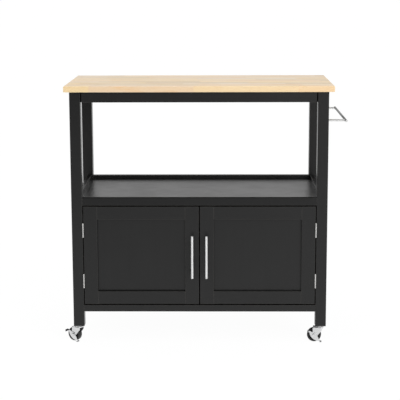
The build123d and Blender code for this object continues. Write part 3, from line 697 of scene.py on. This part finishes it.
def bracket_spots():
    """Two screws in each bracket: one into its rail and one up into the worktop."""
    wall_z = RAIL_TOP - BRACKET_LEG / 2 - BRACKET_THICKNESS
    roof_z = RAIL_TOP - BRACKET_THICKNESS
    middle = BRACKET_LEG / 2 + BRACKET_THICKNESS
    spots = []
    for side in (-1, 1):
        for y in (-INNER_Y / 2, INNER_Y / 2):
            spots.append(((side * (BOARD_X - BRACKET_THICKNESS), y, wall_z), (-side, 0, 0)))
            spots.append(((side * (BOARD_X - middle), y, roof_z), (0, 0, -1)))
        for face, inward in ((FRONT_RAIL_BACK, 1), (REAR_RAIL_FRONT, -1)):
            x = side * INNER_X / 2
            spots.append(((x, face + inward * BRACKET_THICKNESS, wall_z), (0, inward, 0)))
            spots.append(((x, face + inward * middle, roof_z), (0, 0, -1)))
    return spots


def hinge_spots(side, face_x, way):
    """Three screws in each of a side's two leaves, in a shallow zigzag."""
    spots = []
    for middle in HINGE_HEIGHTS:
        for row, shift in HINGE_SCREW_ROWS:
            spots.append(((side * face_x, HINGE_SCREW_Y + shift, middle + row), (way, 0, 0)))
    return spots


def small_hardware():
    """Screws and catch plates, each riding on what holds it."""
    screw_finish = metal("screw_steel", SCREW_STEEL, other=cross_shade_mask, other_colour=CROSS_SHADE_GREY)
    plate_finish = metal("pole_plate_steel", POLE_STEEL, "X")
    small_piece("bracket_screws", pan_head(*BRACKET_SCREW), bracket_spots(), "cart_frame", screw_finish)
    fixed = hinge_spots(-1, POST_LEAF_X, 1) + hinge_spots(1, POST_LEAF_X, -1)
    small_piece("hinge_screws_posts", flat_head(*HINGE_SCREW), fixed, "cart_frame", screw_finish)
    poles = [((side * CATCH_X, CATCH_FACE_Y, z), (0, -1, 0)) for side in (-1, 1) for z in POLE_HEIGHTS]
    small_piece("catch_poles", stadium(*POLE_PLATE), poles, "cart_frame", plate_finish)
    for name, side in (("left", -1), ("right", 1)):
        body = "door_" + name
        spots = hinge_spots(side, DOOR_LEAF_X, side)
        spots.append(((side * CATCH_X, STRIKE_BACK_Y, STRIKE_HEIGHT), (0, 1, 0)))
        small_piece("hinge_screws_" + body, flat_head(*HINGE_SCREW), spots, body, screw_finish)
        backs = [((side * PULL_X, DOOR_BACK_Y, z), (0, 1, 0)) for z in PULL_LEG_HEIGHTS]
        small_piece("pull_screws_" + body, pan_head(*PULL_SCREW), backs, body, screw_finish)


# Studio


def pale_floor():
    """A pale floor that keeps a faint shadow of the cart."""
    floor_mesh = bpy.data.meshes.new("floor")
    corners = [(x * FLOOR_REACH, y * FLOOR_REACH, 0) for x, y in ((-1, -1), (1, -1), (1, 1), (-1, 1))]
    floor_mesh.from_pydata(corners, [], [(0, 1, 2, 3)])
    floor = bpy.data.objects.new("floor", floor_mesh)
    bpy.context.scene.collection.objects.link(floor)
    made = bpy.data.materials.new("floor_paint")
    made.use_nodes = True
    tree = made.node_tree
    tree.nodes.clear()
    light = add(tree, "ShaderNodeLightPath").outputs
    through = calc(tree, "MAXIMUM", light["Is Glossy Ray"], light["Is Transmission Ray"])
    seen = calc(tree, "MAXIMUM", light["Is Camera Ray"], through)
    plain = add(tree, "ShaderNodeBsdfDiffuse", {"Color": FLOOR_GREY}).outputs[0]
    shade = add(tree, "ShaderNodeBsdfDiffuse", {"Color": FLOOR_SHADE}).outputs[0]
    forward = axes(tree, add(tree, "ShaderNodeTexCoord").outputs["Object"])[1]
    mirrored = steps(tree, forward, -9.0, -1.0, FAR_FLOOR_GLOW, FLOOR_GLOW)
    strength = add(tree, "ShaderNodeMix", {0: light["Is Glossy Ray"], 2: FLOOR_GLOW, 3: mirrored}).outputs[0]
    glow = add(tree, "ShaderNodeEmission", {"Color": WHITE, "Strength": strength}).outputs[0]
    shown = add(tree, "ShaderNodeAddShader", {0: shade, 1: glow}).outputs[0]
    mixed = add(tree, "ShaderNodeMixShader", {0: seen, 1: plain, 2: shown}).outputs[0]
    add(tree, "ShaderNodeOutputMaterial", {"Surface": mixed})
    floor_mesh.materials.append(made)


def surroundings():
    """Surroundings that are white to the camera, light the cart most from the front, and mirror darkly there."""
    world = bpy.data.worlds.new("room")
    world.use_nodes = True
    bpy.context.scene.world = world
    tree = world.node_tree
    tree.nodes.clear()
    light = add(tree, "ShaderNodeLightPath").outputs
    way = axes(tree, add(tree, "ShaderNodeTexCoord").outputs["Generated"])
    front = steps(tree, way[0], -0.35, 0.35, FRONT_LEFT_GLOSS, FRONT_RIGHT_GLOSS)
    gloss = steps(tree, way[1], -0.35, 0.25, front, BACK_GLOSS)
    room = steps(tree, way[2], 0.0, 1.0, HORIZON_LEVEL, ZENITH_LEVEL)
    room = calc(tree, "MULTIPLY", room, steps(tree, way[1], -0.7, 0.1, FRONT_FILL, 1.0))
    level = add(tree, "ShaderNodeMix", {0: light["Is Glossy Ray"], 2: room, 3: gloss}).outputs[0]
    level = add(tree, "ShaderNodeMix", {0: light["Is Camera Ray"], 2: level, 3: 1.0}).outputs[0]
    sky = add(tree, "ShaderNodeBackground", {"Color": WHITE, "Strength": level}).outputs[0]
    add(tree, "ShaderNodeOutputWorld", {"Surface": sky})


def soft_lamp(name, place, aim, size, watts):
    """One large square lamp."""
    data = bpy.data.lights.new(name, "AREA")
    data.shape = "SQUARE"
    data.size = size
    data.energy = watts
    lamp = bpy.data.objects.new(name, data)
    bpy.context.scene.collection.objects.link(lamp)
    lamp.location = place
    lamp.rotation_mode = "QUATERNION"
    lamp.rotation_quaternion = (Vector(aim) - Vector(place)).to_track_quat("-Z", "Y")


def camera():
    """The camera at the photograph's viewing angle."""
    data = bpy.data.cameras.new("camera")
    data.sensor_width = 36.0
    data.lens = CAMERA_FOCUS / FRAME_PIXELS * data.sensor_width
    data.clip_end = 200.0
    seen_from = bpy.data.objects.new("camera", data)
    bpy.context.scene.collection.objects.link(seen_from)
    turn = Matrix.Rotation(math.radians(CAMERA_YAW), 4, "Z")
    tip = Matrix.Rotation(math.radians(90 - CAMERA_PITCH), 4, "X")
    roll = Matrix.Rotation(math.radians(CAMERA_ROLL), 4, "Z")
    seen_from.matrix_world = Matrix.Translation(CAMERA_PLACE) @ turn @ tip @ roll
    bpy.context.scene.camera = seen_from


dress_boards()
dress_hardware()
small_hardware()
pale_floor()
surroundings()
soft_lamp("key", **KEY_LAMP)
soft_lamp("overhead", **OVERHEAD_LAMP)
camera()
bpy.context.scene.view_settings.view_transform = "Standard"
